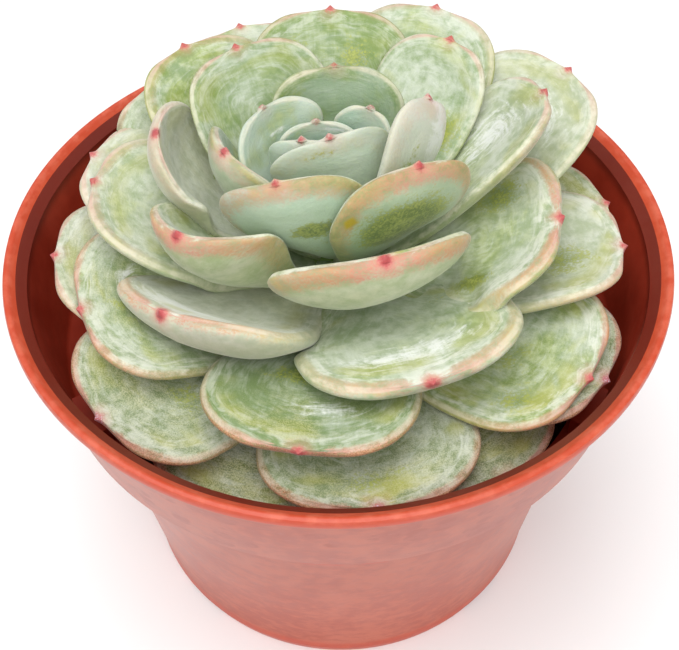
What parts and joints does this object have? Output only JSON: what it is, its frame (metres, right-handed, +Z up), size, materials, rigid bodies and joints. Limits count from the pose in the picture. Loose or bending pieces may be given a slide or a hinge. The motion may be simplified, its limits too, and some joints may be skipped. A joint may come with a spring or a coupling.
{
  "type": "potted echeveria",
  "caption": "Rosette of thick, pointed succulent leaves on a short stem, growing in soil in a round plastic nursery pot with a stepped collar.",
  "frame": {"origin": "centre of the underside of the pot's foot ring, on the surface the pot stands on", "axes": "+Z up along the pot's axis, -Y towards the side that the picture was taken from, +X to the right of it"},
  "size_m": [0.1, 0.1, 0.0933],
  "materials": {
    "leaf": "pale blue-green with a whitish waxy bloom, yellow-green where rubbed, orange-pink along the margins and red at the tip",
    "stem": "dull green turning brown and corky near the soil",
    "soil": "dark, damp and crumbly, with reddish bark chips",
    "pot": "thin moulded terracotta-coloured plastic, satin, slightly mottled"
  },
  "bodies": {
    "root": {"heart": "leaf", "leaf_01": "leaf", "leaf_02": "leaf", "leaf_03": "leaf", "leaf_04": "leaf", "leaf_05": "leaf", "leaf_06": "leaf", "leaf_07": "leaf", "leaf_08": "leaf", "leaf_09": "leaf", "leaf_10": "leaf", "leaf_11": "leaf", "leaf_12": "leaf", "leaf_13": "leaf", "leaf_14": "leaf", "leaf_15": "leaf", "leaf_16": "leaf", "leaf_17": "leaf", "leaf_18": "leaf", "leaf_19": "leaf", "leaf_20": "leaf", "leaf_21": "leaf", "leaf_22": "leaf", "leaf_23": "leaf", "leaf_24": "leaf", "leaf_25": "leaf", "leaf_26": "leaf", "leaf_27": "leaf", "leaf_28": "leaf", "leaf_29": "leaf", "leaf_30": "leaf", "leaf_31": "leaf", "leaf_32": "leaf", "leaf_33": "leaf", "leaf_34": "leaf", "leaf_35": "leaf", "leaf_36": "leaf", "leaf_37": "leaf", "leaf_38": "leaf", "leaf_39": "leaf", "leaf_40": "leaf", "leaf_41": "leaf", "leaf_42": "leaf", "leaf_43": "leaf", "leaf_44": "leaf", "stem": "stem", "soil": "soil", "pot": "pot"}
  },
  "joints": []
}
